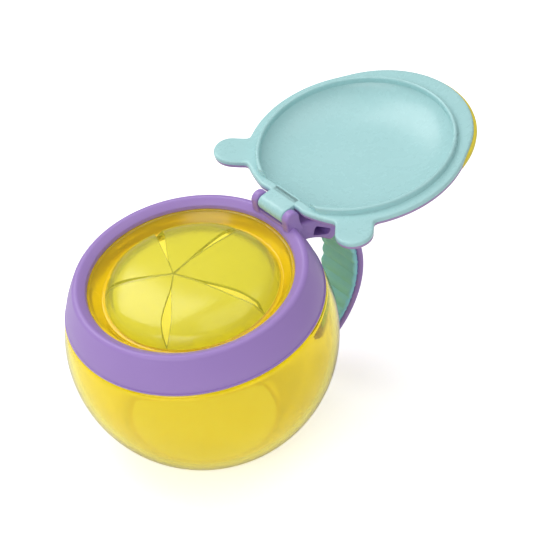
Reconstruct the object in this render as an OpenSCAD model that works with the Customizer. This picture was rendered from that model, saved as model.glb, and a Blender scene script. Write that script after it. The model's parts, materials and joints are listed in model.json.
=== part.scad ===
// Toddler snack container: a ball-shaped cup with a sloping mouth, a screw collar
// with a handle, a soft insert with five slit flaps, and a lid on a pin hinge.
// Millimetres. The origin is the centre of the flat base, and +Z is up.
// The hinge is at the back, towards +Y, and the lid is drawn open.

/* [Cup] */
// Outer diameter of the ball
ball_d = 97.4; // [94:0.2:106]
// Height of the ball's centre above the table
ball_lift = 39.5; // [37:0.5:42]
// Wall of the ball
cup_wall = 2.2; // [1.6:0.1:2.8]
// Thickness of the floor
floor_t = 2.6; // [2:0.1:4]
// Slope of the mouth towards the front, in degrees
tilt = 10; // [6:1:14]
// Height of the shoulder above the ball's centre, along the mouth's axis
shoulder_h = 16; // [15:0.5:17]
// Outer radius of the neck
neck_r = 40.2; // [39:0.1:41]
// Wall of the neck
neck_wall = 2.4; // [1.8:0.1:2.8]
// Height of the neck above the shoulder
neck_h = 8.5; // [6.5:0.1:9]

/* [Collar] */
// Outer radius of the collar at its lower edge
skirt_r = 45.7; // [45:0.1:46.5]
// Radius of the middle of the rounded crest
crest_r = 40; // [39.6:0.1:40.8]
// Roundness of the crest
crest_round = 1.8; // [1.4:0.1:2.2]
// Radius of the mouth inside the collar's lip
lip_r = 37.2; // [36.6:0.1:37.8]
// Thickness of the lip at its inner edge
lip_t = 0.9; // [0.8:0.1:1.4]
// Height of the slope from the lip's inner edge up to the crest's middle
crest_rise = 0.2; // [0:0.1:0.8]
// Gap between the collar and the neck, where the threads run
thread_gap = 0.4; // [0.3:0.05:0.6]
// Walls of the collar on both sides of its relief groove
skirt_wall = 1.7; // [1.3:0.1:1.9]
// Depth of the relief groove
relief_d = 6; // [4:0.5:7]
// Thickness of a hinge ear
ear_w = 3.1; // [2.6:0.1:3.6]

/* [Insert] */
// Thickness of the insert's flange, band and flaps
insert_t = 1.3; // [1:0.1:1.6]
// Radius of the flange's inner edge, where the band slopes down
band_r = 35.6; // [35:0.1:36]
// Radius of the groove round the flap dome
groove_r = 31.9; // [31:0.1:32.5]
// Depth of the groove below the flange
groove_d = 3.3; // [2.4:0.1:3.8]
// Outer radius of the flap dome
dome_r = 30.7; // [30:0.1:30.9]
// Height of the flap dome above the groove
dome_h = 7.4; // [5:0.1:8]
// Width of the slits where they meet
slit_w = 0.8; // [0.7:0.1:1.2]
// Where the slits meet, to the right of the mouth's axis
slit_meet_x = -3; // [-5:0.5:5]
// Where the slits meet, behind the mouth's axis
slit_meet_y = -5.5; // [-7:0.5:5]
// Directions of the slits' outer ends, in degrees from +X
slit_ends = [14, 101, 163, 226, 307];
// How far each slit gapes to its left, in shares of the full gape
slit_left = [0.45, 0.1, 0.15, 0.15, 0.45];
// How far each slit gapes to its right
slit_right = [0.45, 0.7, 1, 0.3, 0.65];
// Full gape of a slit to one side
slit_gape = 2.8; // [1:0.1:3.2]
// Radius of the slits' outer ends
slit_r = 29.6; // [28.5:0.1:30]
// Radius of the corners where the flaps bend
root_r = 26.5; // [25:0.1:27.5]
// Number of lugs that sit inside the neck
lug_count = 12; // [6:1:18]
// Width of a lug, in degrees
lug_angle = 9; // [6:1:12]
// Height of a lug
lug_h = 2; // [1:0.1:3]

/* [Lid] */
// Height of the hinge pin above the crest
hinge_rise = 3.1; // [3:0.1:3.6]
// Distance of the hinge pin from the mouth's axis
hinge_y = 39.7; // [39.2:0.1:40.4]
// Radius of the lid's barrel round the pin
barrel_r = 2.8; // [2.5:0.1:2.8]
// Radius of the hinge pin
pin_r = 1.2; // [1:0.05:1.4]
// Width of the lid's tongue between the ears
tongue_w = 13; // [11:0.5:15]
// Angle from closed to open, in degrees
lid_open = 178; // [150:1:180]
// Radius of the lid's flange
lid_r = 40.8; // [40:0.1:41.6]
// Offset of the lid's centre towards the hinge
lid_y = 0.5; // [0:0.1:0.6]
// Thickness of the inner layer
liner_t = 1.7; // [1.3:0.1:2]
// Thickness of the outer layer
shell_t = 1.4; // [1:0.1:1.8]
// Outer radius of the ring that plugs the mouth
ring_r = 36.4; // [35.6:0.1:36.5]
// Wall of that ring
ring_wall = 1.5; // [1.2:0.1:2]
// Height of that ring
ring_h = 2.3; // [1.5:0.1:2.5]
// Depth of the dish above the flange
dish_d = 7; // [5:0.5:9]
// Distance of the dish's straight side from the lid's centre
chord_y = 33.4; // [32.5:0.1:34]
// Distance of the finger tabs' round ends from the lid's centre
tab_reach = 46.7; // [44:0.1:48]
// Radius of the tabs' round ends
tab_r = 7.6; // [6:0.1:8]
// Angle of the tabs from the hinge, in degrees
tab_angle = 47; // [44:1:55]
// Radius of the front lip's curve
front_r = 32.6; // [31:0.1:34]
// Distance of the lip's curve in front of the lid's centre
front_y = 13.5; // [12.5:0.1:14.5]
// Overhang of the outer lip past the inner one
front_over = 0.8; // [0:0.1:1.2]
// Width of the outer lip inside the flange's edge
front_in = 2.6; // [2:0.1:3.4]

/* [Handle] */
// Width of the handle
handle_w = 19.2; // [17:0.1:19.6]
// Radius of the handle's outer curve
handle_r = 32.9; // [31.5:0.1:34]
// Place of the curve's centre behind the mouth's axis
handle_y = 35.2; // [34.6:0.1:35.8]
// Height of the curve's centre above the ball's centre, along the mouth's axis
handle_z = -3.6; // [-4:0.1:-3.2]
// Thickness of the arm at the top
arm_t = 7.5; // [6.5:0.1:8]
// Thickness of the rigid strap
strap_t = 2; // [1.6:0.1:2.4]
// Thickness of the soft grip without its ribs
grip_t = 1.5; // [1.2:0.1:2]
// Radius of the grip's ribs
rib_r = 3.2; // [2.8:0.1:3.6]
// Height of the ribs over the grip
rib_rise = 1.1; // [0.6:0.1:1.4]
// Distance from rib to rib
rib_pitch = 5.2; // [4.6:0.1:6]
// Radius of the handle's rounded edges
edge_r = 0.9; // [0.5:0.05:0.95]
// Depth of the pockets in the arm's sides
pocket_d = 6.5; // [3:0.1:8]
// Wall of the arm round its pockets
pocket_wall = 1.1; // [0.9:0.1:1.6]

/* [Fits] */
// Gap between pieces that part or turn
gap = 0.3; // [0.25:0.05:0.4]
// Radial clearance of the pin in the lid's barrel
pin_play = 0.05; // [0.02:0.01:0.1]
// Radial clearance of the pin in the collar's ears
pin_fit = 0.02; // [0.01:0.01:0.03]
// Depth of the pin's end below the ear's face
pin_sunk = 0.8; // [0.3:0.1:1.2]

/* [Hidden] */
$fn = 96;

// Longer than the part in every direction
far = 200;

// Cup
ball_r = ball_d / 2;
neck_top = shoulder_h + neck_h;
shoulder_t = cup_wall;

// Insert
flange_low = neck_top + gap;
flange_top = flange_low + insert_t;
flange_r = neck_r - gap;
groove_h = flange_top - groove_d;
// Draft of the band's underside
band_draft = 0.4;
// How far the dome's foot runs into the groove's floor
dome_seat = 0.5;
// Slits: where they meet, the share of their length where they gape most, and what is left of
// the gape at their outer end
slit_meet = [slit_meet_x, slit_meet_y];
slit_widest = 0.8;
slit_closing = 0.5;
// Powers of the dome's outline: the first keeps its top flat, the second its shoulder full
dome_flat = 3;
dome_full = 2.5;

// Collar
bore_r = neck_r + thread_gap;
skirt_low = shoulder_h + gap;
lip_low = flange_top + gap;
lip_top = lip_low + lip_t;
crest_mid = lip_top + crest_rise;
crest_top = crest_mid + crest_round;
// The collar's side: a plain band with little draft, then a bulging slope up to the crest
skirt_band = 3;
skirt_draft = 0.35;
bulge_out = 0.4;
bulge_up = 0.6;
// Span of the crest's arc, in degrees
crest_from = 10;
crest_to = 130;
// How far the handle's root sinks into the collar's bore side
root_sunk = 0.6;

// Hinge
hinge_h = crest_top + hinge_rise;
ear_r = hinge_rise;
ear_in = tongue_w / 2 + gap;
ear_out = ear_in + ear_w;
// How far an ear's foot leans in at the front, spreads at the back and sinks into the crest
ear_lean = 0.8;
ear_spread = 4.6;
ear_sunk = 1.5;

// Lid, closed
lid_low = hinge_h - barrel_r;
liner_top = lid_low + liner_t;
dish_r = ring_r - ring_wall;
dish_ball = (dish_r * dish_r + dish_d * dish_d) / (2 * dish_d);
dish_mid = lid_low + dish_d - dish_ball;
dome_wall = 1.6;
// The flange's hinge side is a flatter arc, which clears the ears
back_r = 58;
back_y = 36.9;
// Fillets where the tabs leave the flange, and how far they run into it
tab_fillet = 2.5;
fillet_seat = 0.02;

// Handle, with angles in degrees from +Y
grip_r = handle_r - strap_t;
arm_in = handle_r - arm_t;
root_a = 62;
arm_a = 44;
grip_top_a = 40;
grip_low_a = -60;
tip_a = -70;
// Roundness of the strap's tip, a little less than half the strap
tip_less = 0.1;
tip_r = strap_t / 2 - tip_less;
// Pockets: the wall over them, the round of their corners and the stop before the root
pocket_roof = 2.7;
pocket_round = 1;
pocket_stop = 2;

// Places the ball's centre at the origin
module ball_frame() {
    translate([0, 0, ball_lift]) children();
}

// Places the mouth's axis along +Z, from the ball's centre
module mouth_frame() {
    ball_frame() rotate([tilt, 0, 0]) children();
}

// Swings the closed lid open about the pin
module open_frame() {
    mouth_frame() translate([0, hinge_y, hinge_h])
        rotate([-lid_open, 0, 0]) translate([0, -hinge_y, -hinge_h]) children();
}

// Extrudes an outline drawn in the Y-Z plane, equally to both sides of it
module across(width) {
    rotate([90, 0, 90]) linear_extrude(width, center = true) children();
}

// Everything above, or below, a height
module above(h) {
    translate([-far, -far, h]) cube([2 * far, 2 * far, far]);
}
module below(h) {
    translate([-far, -far, h - far]) cube([2 * far, 2 * far, far]);
}

// Points along an arc
function arc(x, y, r, a0, a1, n) =
    [for (i = [0:n]) let (a = a0 + (a1 - a0) * i / n) [x + r * cos(a), y + r * sin(a)]];

// A wedge of the plane between two angles
module wedge(a0, a1) {
    polygon(concat([[0, 0]], arc(0, 0, far, a0, a1, 3)));
}

// A ring cut to the span between two angles
module ring_piece(r0, r1, a0, a1) {
    intersection() {
        difference() {
            circle(r1);
            circle(r0);
        }
        wedge(a0, a1);
    }
}

// Cup

module cup_outside() {
    intersection() {
        sphere(ball_r);
        rotate([tilt, 0, 0]) below(shoulder_h);
        above(-ball_lift);
    }
    rotate([tilt, 0, 0]) cylinder(r = neck_r, h = neck_top);
}

module cup_inside() {
    intersection() {
        sphere(ball_r - cup_wall);
        rotate([tilt, 0, 0]) below(shoulder_h - shoulder_t);
        above(floor_t - ball_lift);
    }
    rotate([tilt, 0, 0]) cylinder(r = neck_r - neck_wall, h = neck_top + 1);
}

module cup() {
    color([0.96, 0.85, 0.13, 0.55]) ball_frame() difference() {
        cup_outside();
        cup_inside();
    }
}

// Insert and flaps

// Outline of the flap dome: flat in the middle, with a round shoulder
dome_steps = 14;
function dome_curve(r, h) =
    [for (i = [0:dome_steps]) let (a = 90 * i / dome_steps)
        [r * pow(sin(a), 2 / dome_flat), groove_h + h * pow(cos(a), 2 / dome_full)]];

module dome_shell() {
    rotate_extrude() difference() {
        polygon(concat([[0, groove_h]], dome_curve(dome_r, dome_h)));
        translate([0, -insert_t])
            polygon(concat([[0, groove_h]], dome_curve(dome_r - insert_t, dome_h)));
    }
}

function on_circle(r, a) = [r * cos(a), r * sin(a)];
roots = [for (a = slit_ends) on_circle(root_r, a)];

// The left side of the direction from p to q
function left(p, q) = let (d = (q - p) / norm(q - p)) [-d.y, d.x];

// The triangle of the flap between the roots a and b, drawn in from the root's line
function flap_corners(a, b) =
    let (share = gap / ((slit_meet - a) * left(a, b)))
    [slit_meet, a + (slit_meet - a) * share, b + (slit_meet - b) * share];

// How far a slit has opened at a share of its length, from 0 to 1
function ease(t) = let (s = min(1, max(0, t))) s * s * (3 - 2 * s);
function slit_opening(t) =
    ease(t / slit_widest) * (1 - slit_closing * ease((t - slit_widest) / (1 - slit_widest)));

// One side of a slit of the given length, 1 for its left and -1 for its right
slit_steps = 12;
function slit_side(length, side, gape) =
    [for (i = [0:slit_steps]) let (t = i / slit_steps)
        [length * t, side * (slit_w / 2 + gape * slit_opening(t))]];
function reversed(list) = [for (i = [len(list) - 1:-1:0]) list[i]];

// The five slits, which gape towards the dome's shoulder
module slits() {
    for (i = [0:len(slit_ends) - 1]) {
        d = on_circle(slit_r, slit_ends[i]) - slit_meet;
        translate(slit_meet) rotate(atan2(d.y, d.x)) polygon(concat(
            slit_side(norm(d), 1, slit_gape * slit_left[i]),
            reversed(slit_side(norm(d), -1, slit_gape * slit_right[i]))));
    }
}

module insert_ring() {
    color([0.97, 0.80, 0.05, 0.7]) mouth_frame() {
        rotate_extrude() polygon([
            [flange_r, flange_low], [flange_r, flange_top], [band_r, flange_top],
            [groove_r, groove_h], [dome_r - dome_seat, groove_h],
            [dome_r - dome_seat, groove_h - insert_t],
            [groove_r, groove_h - insert_t], [band_r - band_draft, flange_low]]);
        difference() {
            dome_shell();
            linear_extrude(far) {
                polygon(roots);
                slits();
            }
        }
        for (i = [0:lug_count - 1]) rotate((i + 0.5) * 360 / lug_count) lug();
    }
}

// A lug on the flange's underside, just inside the neck
module lug() {
    translate([0, 0, flange_low - lug_h]) linear_extrude(lug_h + insert_t / 2)
        ring_piece(band_r, neck_r - neck_wall - gap, -lug_angle / 2, lug_angle / 2);
}

module flap(i) {
    color([0.98, 0.92, 0.25, 0.7]) mouth_frame() intersection() {
        dome_shell();
        linear_extrude(far) difference() {
            polygon(flap_corners(roots[i], roots[(i + 1) % len(roots)]));
            slits();
        }
    }
}

// Collar

// Half the outline of the collar, in radius and height
collar_half = concat(
    [[bore_r, skirt_low], [skirt_r, skirt_low], [skirt_r - skirt_draft, skirt_low + skirt_band],
     ([skirt_r, skirt_low] + [crest_r + crest_round, crest_mid]) / 2 + [bulge_out, bulge_up]],
    arc(crest_r, crest_mid, crest_round, crest_from, crest_to, 8),
    [[lip_r, lip_top], [lip_r, lip_low], [bore_r, lip_low]]);

module collar_ring() {
    rotate_extrude() difference() {
        polygon(collar_half);
        polygon([
            [bore_r + skirt_wall, skirt_low - 1], [skirt_r - skirt_wall, skirt_low - 1],
            [skirt_r - skirt_wall - skirt_draft, skirt_low + skirt_band],
            [bore_r + skirt_wall, skirt_low + relief_d]]);
    }
}

// The outline of the handle's arm, which the collar carries as far as root_a
module arm_outline(a0, a1) {
    translate([handle_y, handle_z]) ring_piece(arm_in, handle_r, a0, a1);
}

module collar_root() {
    difference() {
        intersection() {
            across(handle_w) arm_outline(root_a, 90);
            handle_edges(arm_in);
        }
        cylinder(r = bore_r + root_sunk, h = far);
    }
}

module ear() {
    across(ear_out - ear_in) {
        translate([hinge_y, hinge_h]) circle(ear_r);
        polygon([
            [hinge_y - ear_r, hinge_h], [hinge_y - ear_r + ear_lean, crest_mid],
            [hinge_y, crest_mid - ear_sunk], [hinge_y + ear_spread, crest_mid - ear_sunk],
            [hinge_y + ear_r, hinge_h]]);
    }
}

module pin_hole(r) {
    translate([0, hinge_y, hinge_h]) rotate([0, 90, 0]) cylinder(r = r, h = far, center = true);
}

module collar() {
    color([0.56, 0.43, 0.72]) mouth_frame() difference() {
        union() {
            collar_ring();
            collar_root();
            for (side = [-1, 1]) translate([side * (ear_in + ear_out) / 2, 0, 0]) ear();
        }
        pin_hole(pin_r + pin_fit);
    }
}

module hinge_pin() {
    color([0.50, 0.38, 0.66]) mouth_frame() translate([0, hinge_y, hinge_h])
        rotate([0, 90, 0]) cylinder(r = pin_r, h = 2 * (ear_out - pin_sunk), center = true);
}

// Handle

// A ring about the handle's curve, with rounded edges, from radius r0 outwards
module handle_edges(r0) {
    translate([0, handle_y, handle_z]) rotate([0, 90, 0]) rotate_extrude()
        round_box(r0, handle_r, handle_w / 2);
}

module round_box(x0, x1, y) {
    e = edge_r;
    translate([x0 + e, -y]) square([x1 - x0 - 2 * e, 2 * y]);
    translate([x0, e - y]) square([x1 - x0, 2 * y - 2 * e]);
    for (cx = [x0 + e, x1 - e]) for (cy = [e - y, y - e]) translate([cx, cy]) circle(e);
}

module handle_span(a0, a1) {
    across(2 * handle_w) translate([handle_y, handle_z]) wedge(a0, a1);
}

// The outline of a pocket: a curved slot with rounded corners
module pocket_outline() {
    r0 = arm_in + pocket_wall;
    r1 = handle_r - pocket_roof;
    c = pocket_round;
    a0 = arm_a;
    a1 = root_a - pocket_stop;
    side = asin(c / r0);
    translate([handle_y, handle_z]) {
        ring_piece(r0 + c, r1 - c, a0, a1);
        ring_piece(r0, r1, a0 + side, a1 - side);
        for (r = [r0 + c, r1 - c]) for (a = [a0 + side, a1 - side])
            translate(on_circle(r, a)) circle(c);
    }
}

module handle_frame() {
    color([0.56, 0.43, 0.72]) mouth_frame() difference() {
        union() {
            intersection() {
                handle_edges(grip_r);
                handle_span(tip_a, root_a);
            }
            intersection() {
                handle_edges(arm_in);
                handle_span(grip_top_a, root_a);
            }
            translate([0, handle_y, handle_z]) rotate([tip_a, 0, 0])
                translate([0, handle_r - strap_t / 2, 0]) rotate([0, 90, 0])
                    cylinder(r = tip_r, h = handle_w - 3 * edge_r, center = true);
        }
        for (side = [-1, 1]) translate([side * handle_w / 2, 0, 0])
            across(2 * pocket_d) pocket_outline();
        translate([0, 0, skirt_low]) cylinder(r = skirt_r, h = crest_top - skirt_low);
    }
}

module handle_grip() {
    rib_a = rib_pitch / grip_r * 180 / PI;
    ribs = floor((grip_top_a - grip_low_a) / rib_a);
    first_a = (grip_top_a + grip_low_a - (ribs - 1) * rib_a) / 2;
    color([0.45, 0.78, 0.74]) mouth_frame() intersection() {
        across(handle_w - 2 * gap) translate([handle_y, handle_z]) {
            ring_piece(grip_r - grip_t, grip_r, grip_low_a, grip_top_a);
            intersection() {
                ring_piece(arm_in, grip_r, grip_low_a, grip_top_a);
                for (i = [0:ribs - 1])
                    translate(on_circle(grip_r - grip_t - rib_rise + rib_r, first_a + i * rib_a))
                        circle(rib_r);
            }
        }
        handle_edges(grip_r - grip_t - rib_rise - edge_r);
    }
}

// Lid

// Outline of both layers, without the front lip
module lid_outline() {
    difference() {
        translate([0, lid_y]) {
            intersection() {
                circle(lid_r);
                translate([0, back_y - back_r]) circle(back_r);
            }
            for (side = [-1, 1]) rotate(side * tab_angle) {
                translate([0, tab_reach]) circle(tab_r);
                translate([-tab_r, 0]) square([2 * tab_r, tab_reach]);
                tab_root(-side, [0, 0], lid_r);
                tab_root(side, on_circle(back_y - back_r, 90 - side * tab_angle), back_r);
            }
        }
        for (x = [-ear_out - gap, tongue_w / 2]) translate([x, hinge_y - ear_r - 2 * gap])
            square([ear_w + 2 * gap, ear_r]);
    }
}

// The fillet between a tab's flank and the flange's arc, drawn along the tab
module tab_root(flank, middle, r) {
    x = flank * (tab_r + tab_fillet);
    y = middle.y + sqrt(pow(r + tab_fillet, 2) - pow(x - middle.x, 2));
    difference() {
        polygon([[0, 0], middle + ([x, y] - middle) * r / (r + tab_fillet), [x, y], [flank * tab_r, y]]);
        translate([x, y]) circle(tab_fillet + fillet_seat);
    }
}

module front_lip(over) {
    translate([0, lid_y - front_y]) circle(front_r + over);
}

// A cap of the dish's ball, thicker by more
module dish_cap(more, from) {
    translate([0, lid_y, 0]) intersection() {
        translate([0, 0, dish_mid]) sphere(dish_ball + more);
        above(from);
    }
}

// The domed wall over the dish, no wider than the lid
module dish_dome(wall, from) {
    intersection() {
        dish_cap(wall, from);
        linear_extrude(far) lid_outline();
    }
}

module barrel_round() {
    translate([0, hinge_y, hinge_h]) rotate([0, 90, 0])
        cylinder(r = barrel_r, h = tongue_w, center = true);
}

module barrel() {
    barrel_round();
    translate([-tongue_w / 2, lid_y + chord_y, lid_low])
        cube([tongue_w, hinge_y - lid_y - chord_y, liner_t]);
}

module lid_liner() {
    color([0.68, 0.88, 0.87]) open_frame() difference() {
        union() {
            translate([0, 0, lid_low]) linear_extrude(liner_t) {
                lid_outline();
                front_lip(0);
            }
            dish_dome(dome_wall, lid_low);
            intersection() {
                translate([0, lid_y, lid_low - ring_h]) cylinder(r = ring_r, h = ring_h + 1);
                before_chord();
            }
            barrel();
        }
        intersection() {
            union() {
                dish_cap(0, lid_low);
                translate([0, lid_y, lid_low - ring_h - 1]) cylinder(r = dish_r, h = ring_h + 1.01);
            }
            before_chord();
        }
        pin_hole(pin_r + pin_play);
    }
}

// The space in front of the dish's straight side
module before_chord() {
    translate([-far, lid_y + chord_y - 2 * far, -far]) cube([2 * far, 2 * far, 2 * far]);
}

module lid_shell() {
    color([0.78, 0.66, 0.84]) open_frame() difference() {
        union() {
            translate([0, 0, liner_top]) linear_extrude(shell_t) lid_outline();
            dish_dome(dome_wall + shell_t, liner_top);
        }
        linear_extrude(far) crescent(front_over);
        dish_cap(dome_wall, lid_low - 1);
        barrel_round();
    }
}

// The front lip outside the dished middle
module crescent(over) {
    difference() {
        front_lip(over);
        translate([0, lid_y]) circle(lid_r - front_in);
    }
}

module lid_lip() {
    color([0.95, 0.86, 0.20]) open_frame()
        translate([0, 0, liner_top]) linear_extrude(shell_t) crescent(front_over);
}

cup();
insert_ring();
flap(0);  // flap_1
flap(1);  // flap_2
flap(2);  // flap_3
flap(3);  // flap_4
flap(4);  // flap_5
collar();
hinge_pin();
handle_frame();
handle_grip();
lid_liner();
lid_shell();
lid_lip();
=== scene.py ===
"""A ball-shaped toddler snack cup with soft flaps, a screw collar, a grip handle and an open lid.

Shapes are drawn in millimetres, in the frame of the piece that carries them, and are turned into
metres in the row frame when their mesh is made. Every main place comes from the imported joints.

In the names below, _R is a radius about the mouth's axis, _H, _LOW and _TOP are heights along it
from the ball's middle, _T is a thickness, and _DEG is in degrees.
"""
import json
import math

import bmesh
import bpy
import numpy as np
from mathutils import Matrix, Vector

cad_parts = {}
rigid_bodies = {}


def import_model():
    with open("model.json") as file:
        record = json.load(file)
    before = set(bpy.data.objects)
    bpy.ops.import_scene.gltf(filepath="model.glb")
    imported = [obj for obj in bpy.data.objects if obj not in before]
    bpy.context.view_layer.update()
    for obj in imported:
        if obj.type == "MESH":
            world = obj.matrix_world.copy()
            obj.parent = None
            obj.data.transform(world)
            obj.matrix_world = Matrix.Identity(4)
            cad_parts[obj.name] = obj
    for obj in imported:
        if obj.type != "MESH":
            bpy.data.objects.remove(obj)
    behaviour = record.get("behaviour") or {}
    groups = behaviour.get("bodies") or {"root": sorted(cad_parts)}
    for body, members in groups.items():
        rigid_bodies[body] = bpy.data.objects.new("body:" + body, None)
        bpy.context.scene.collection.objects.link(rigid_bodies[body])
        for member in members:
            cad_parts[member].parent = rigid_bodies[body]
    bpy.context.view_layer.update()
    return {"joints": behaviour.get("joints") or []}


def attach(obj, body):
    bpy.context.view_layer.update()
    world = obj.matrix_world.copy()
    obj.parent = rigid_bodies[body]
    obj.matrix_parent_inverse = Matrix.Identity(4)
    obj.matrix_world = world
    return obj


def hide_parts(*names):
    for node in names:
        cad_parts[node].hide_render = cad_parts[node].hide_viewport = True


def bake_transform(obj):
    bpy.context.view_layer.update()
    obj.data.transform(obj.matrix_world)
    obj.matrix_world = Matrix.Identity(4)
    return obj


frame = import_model()

MM = 0.001
JOINTS = {j["name"]: j for j in frame["joints"]}

# Frames, in millimetres
BALL = Vector(JOINTS["collar_twist"]["pos_m"]) / MM
MOUTH_AXIS = Vector(JOINTS["collar_twist"]["axis"])
TILT = math.atan2(-MOUTH_AXIS.y, MOUTH_AXIS.z)
BALL_FRAME = Matrix.Translation(BALL)
MOUTH_FRAME = BALL_FRAME @ Matrix.Rotation(TILT, 4, "X")
PIN = MOUTH_FRAME.inverted() @ (Vector(JOINTS["lid_hinge"]["pos_m"]) / MM)
LID_OPEN = math.radians(JOINTS["lid_hinge"]["range_deg"][1])
LID_FRAME = (MOUTH_FRAME @ Matrix.Translation((0, PIN.y, PIN.z))
             @ Matrix.Rotation(-LID_OPEN, 4, "X") @ Matrix.Translation((0, -PIN.y, -PIN.z)))

# Cup
BALL_R = 48.7
WALL = 2.2
FLOOR_T = 2.6
SHOULDER_H = 16.0
SHOULDER_ROUND = 1.2
NECK_R = 40.2
NECK_WALL = 2.4
NECK_TOP = 24.5
THREAD_RISE = 0.7
THREAD_PITCH = 3.6
THREAD_TURNS = 1.2
THREAD_HALF = 0.9
BASE_CORNER = 4.0
INNER_BASE_CORNER = 6.0
INNER_CORNER = 2.0
LEAN_FROM = -34.0
LEAN_OVER = 42.0

# Collar
SKIRT_R = 45.7
SKIRT_LOW = 16.3
CREST_R = 40.0
CREST_H = 27.5
CREST_ROUND = 1.8
LIP_R = 37.2
LIP_LOW = 26.4
LIP_TOP = 27.3
BORE_R = 41.2
EAR_IN = 6.8
EAR_OUT = 9.9
EAR_R = 3.1
EAR_FOOT_BELOW_CREST = 1.6
EAR_FOOT_BACK = 1.5
EAR_EDGE = 0.75
EAR_SPREAD = 0.35
EAR_SPREAD_H = 3.4
SKIRT_TANGENT_DEG = 25
CREST_END_DEG = 128

# Insert
FLANGE_R = 39.9
FLANGE_LOW = 24.8
FLANGE_TOP = 26.1
BAND_R = 35.6
GROOVE_R = 31.9
GROOVE_H = 22.8
INSERT_T = 1.3
DOME_R = 30.7
DOME_H = 7.4
LUG_COUNT = 12
LUG_DEG = 9.0
LUG_GAP = 0.3
LUG_TALL = 2.3
LUG_BELOW = 1.0
LEAF_EDGE_BULGE = 0.18

# Handle, about its curve's centre in the mouth frame
HANDLE_Y = 35.2
HANDLE_Z = -3.6
HANDLE_R = 32.9
HANDLE_HALF = 9.6
GRIP_R = 30.9
ARM_IN = 25.4
HANDLE_TIP = -70.0
HANDLE_STEP = 40.0
HANDLE_ROOT = 86.0
STRAP_EDGE = 0.85
TIP_CORNER = 5.0
POCKET_FROM = 45.5
POCKET_TO = 63.5
POCKET_LOW = ARM_IN + 1.1
POCKET_HIGH = HANDLE_R - 2.7
POCKET_DEPTH = 6.5
GRIP_FROM = -60.0
GRIP_T = 1.5
RIB_PITCH = 5.2
RIB_RISE = 1.35
RIB_POWER = 0.55
GRIP_EDGE = 1.2
GRIP_INSET = 0.25

# Lid, closed, in the mouth frame
LID_Y = 0.5
LID_BELOW_PIN = 2.8
LINER_T = 1.7
SHELL_T = 1.4
LID_LOW = PIN.z - LID_BELOW_PIN
LINER_TOP = LID_LOW + LINER_T
SHELL_TOP = LINER_TOP + SHELL_T
LID_R = 40.4
LID_FRONT_R = 36.6
LID_FRONT_Y = 7.6
LIP_OVER = 0.6
TAB_AT = 47.0
TAB_REACH = 45.6
TAB_R = 6.7
TAB_DROOP = 1.2
RING_R = 36.4
DISH_R = 34.9
RING_H = 2.3
DISH_D = 7.0
LINER_OVER_DISH = 0.5
CHORD_Y = 32.7
TONGUE_HALF = 6.5
TONGUE_EDGE = 0.55
HINGE_SIDE_R = 58.0
HINGE_SIDE_REACH = 36.9
NOTCH_Y = 35.5
NOTCH_GAP = 0.5
LINER_EDGE = 0.8
SHELL_EDGE = 0.7
OUTER_DOME_R = 93.5
LIP_BAND = 2.6
LIP_SPAN = 74.0
BARREL_R = 2.8
PIN_R = 1.2
PIN_SHORT = 0.8
PIN_CHAMFER = 0.3


# Meshes

def smoothstep(t):
    """Runs from 0 to 1, level at both ends."""
    t = np.clip(t, 0.0, 1.0)
    return t * t * (3 - 2 * t)


class Shell:
    """Points and faces of one piece, gathered from closed surfaces made of rows of points."""

    def __init__(self):
        self.points = []
        self.faces = []

    def rows(self, rows, around=True, wrap=False, capped=False):
        """Joins each row to the next. A row of one point is a pole."""
        first = []
        for row in rows:
            row = np.atleast_2d(np.asarray(row, float))
            first.append((len(self.points), len(row)))
            self.points.extend(row.tolist())
        pairs = list(zip(first, first[1:]))
        if wrap:
            pairs.append((first[-1], first[0]))
        for (a, count_a), (b, count_b) in pairs:
            count = max(count_a, count_b)
            for i in range(count if around else count - 1):
                j = (i + 1) % count
                if count_a == 1:
                    self.faces.append((a, b + j, b + i))
                elif count_b == 1:
                    self.faces.append((a + i, a + j, b))
                else:
                    self.faces.append((a + i, a + j, b + j, b + i))
        if capped:
            for start, count in (first[0], first[-1]):
                if count > 1:
                    self.faces.append(tuple(range(start, start + count)))
        return self


def finish_mesh(mesh, sharp):
    """Merges doubles, turns the faces outwards and shades them smooth up to an angle."""
    bm = bmesh.new()
    bm.from_mesh(mesh)
    bmesh.ops.remove_doubles(bm, verts=bm.verts, dist=2e-6)
    bmesh.ops.recalc_face_normals(bm, faces=bm.faces)
    bm.to_mesh(mesh)
    bm.free()
    mesh.polygons.foreach_set("use_smooth", [True] * len(mesh.polygons))
    mesh.set_sharp_from_angle(angle=math.radians(sharp))
    mesh.update()


def make(name, shell, place, material, sharp=40):
    """A mesh object from a shell drawn in the frame that place gives."""
    turn = np.array(place)
    points = (np.array(shell.points) @ turn[:3, :3].T + turn[:3, 3]) * MM
    mesh = bpy.data.meshes.new(name)
    mesh.from_pydata(points.tolist(), [], shell.faces)
    finish_mesh(mesh, sharp)
    mesh.materials.append(material)
    obj = bpy.data.objects.new(name, mesh)
    bpy.context.scene.collection.objects.link(obj)
    return obj


def settle(obj, sharp=40):
    """Applies an object's modifiers to its mesh and removes them."""
    graph = bpy.context.evaluated_depsgraph_get()
    mesh = bpy.data.meshes.new_from_object(obj.evaluated_get(graph))
    obj.modifiers.clear()
    obj.data = mesh
    finish_mesh(mesh, sharp)
    return obj


def circle(centre, axis, radius, count):
    """A row round an axis that leans only in the Y-Z plane."""
    t = np.arange(count) * 2 * math.pi / count
    across = Vector((1, 0, 0))
    up = Vector(axis).cross(across)
    return (np.array(centre) + np.outer(radius * np.cos(t), across)
            + np.outer(radius * np.sin(t), up))


def lathe(profile, count=160):
    """Rows round +Z from points of radius and height. A radius of 0 is a pole."""
    return [[(0, 0, h)] if r < 1e-6 else circle((0, 0, h), (0, 0, 1), r, count)
            for r, h in profile]


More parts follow.
